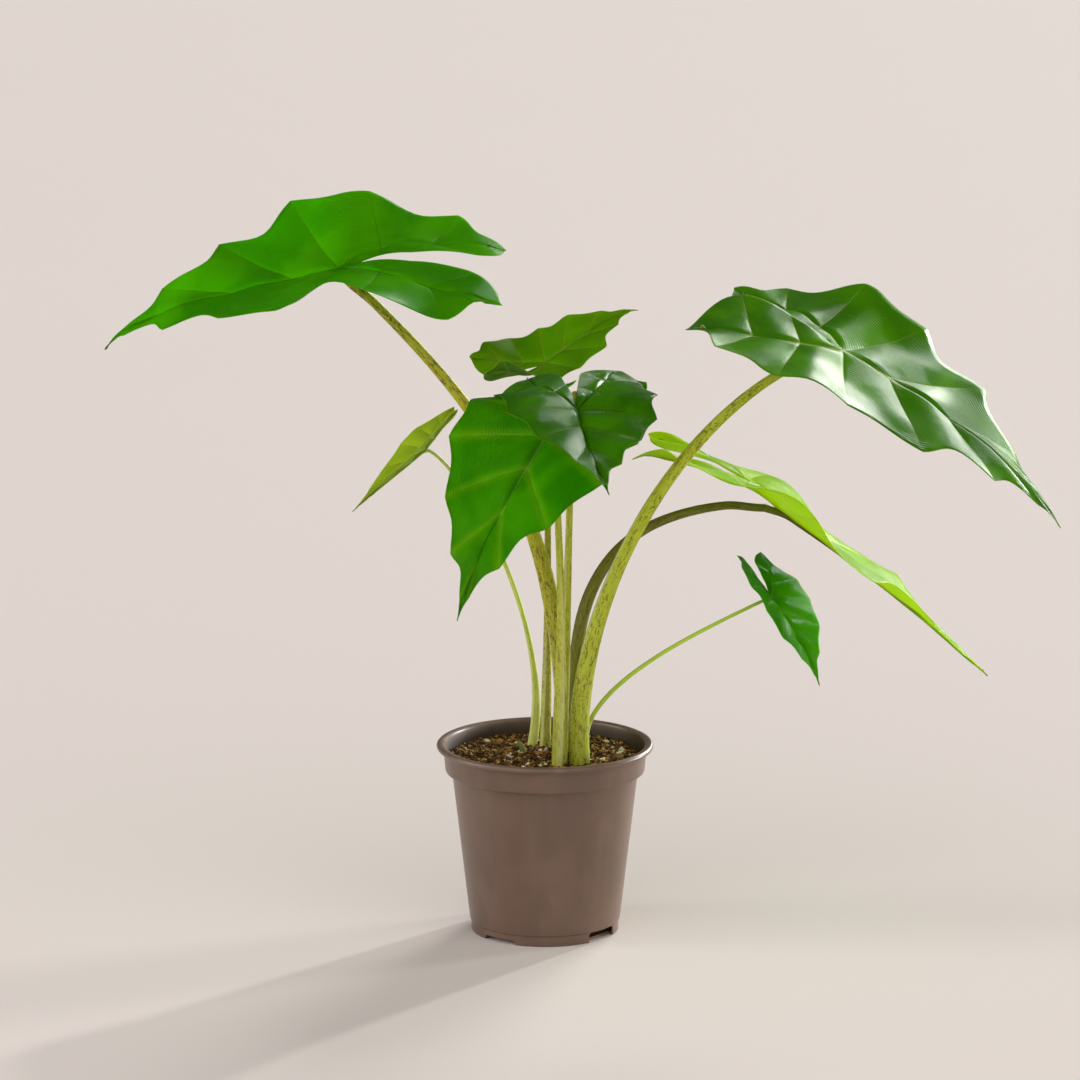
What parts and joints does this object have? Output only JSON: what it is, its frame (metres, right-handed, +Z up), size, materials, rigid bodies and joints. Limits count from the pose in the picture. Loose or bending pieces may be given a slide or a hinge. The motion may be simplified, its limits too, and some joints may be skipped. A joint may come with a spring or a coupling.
{
  "type": "potted alocasia plant",
  "caption": "Arrow-leaved house plant with long curved leaf stalks, growing from potting mix in a round tapered nursery pot.",
  "frame": {"origin": "the middle of the pot's base, on the surface it stands on", "axes": "+Z up along the pot's axis; -Y towards the front of the plant, and +X to the right as seen from the front"},
  "size_m": [0.825, 0.473, 0.6361],
  "materials": {
    "pot_plastic": "satin",
    "potting_mix": "matte",
    "perlite": "matte",
    "bark": "matte",
    "young_shoot": "satin",
    "mottled_stalk": "satin",
    "dark_stalk": "satin",
    "pale_stalk": "satin",
    "leaf_blade": "gloss",
    "pale_leaf_blade": "gloss"
  },
  "bodies": {
    "root": {"nursery_pot": "pot_plastic", "potting_soil": "potting_mix", "new_shoot": "young_shoot", "perlite_1": "perlite", "perlite_2": "perlite", "perlite_3": "perlite", "perlite_4": "perlite", "perlite_5": "perlite", "perlite_6": "perlite", "perlite_7": "perlite", "perlite_8": "perlite", "bark_chip_1": "bark", "bark_chip_2": "bark", "bark_chip_3": "bark", "bark_chip_4": "bark", "bark_chip_5": "bark", "bark_chip_6": "bark", "stalk_high_left": "mottled_stalk", "stalk_high_right": "mottled_stalk", "stalk_hanging_front": "mottled_stalk", "stalk_upper_front": "mottled_stalk", "stalk_young_top": "mottled_stalk", "stalk_low_right": "dark_stalk", "stalk_small_left": "pale_stalk", "stalk_small_right": "pale_stalk", "leaf_high_left": "leaf_blade", "leaf_high_right": "leaf_blade", "leaf_hanging_front": "leaf_blade", "leaf_upper_front": "leaf_blade", "leaf_young_top": "leaf_blade", "leaf_low_right": "pale_leaf_blade", "leaf_small_left": "pale_leaf_blade", "leaf_small_right": "leaf_blade"}
  },
  "joints": []
}
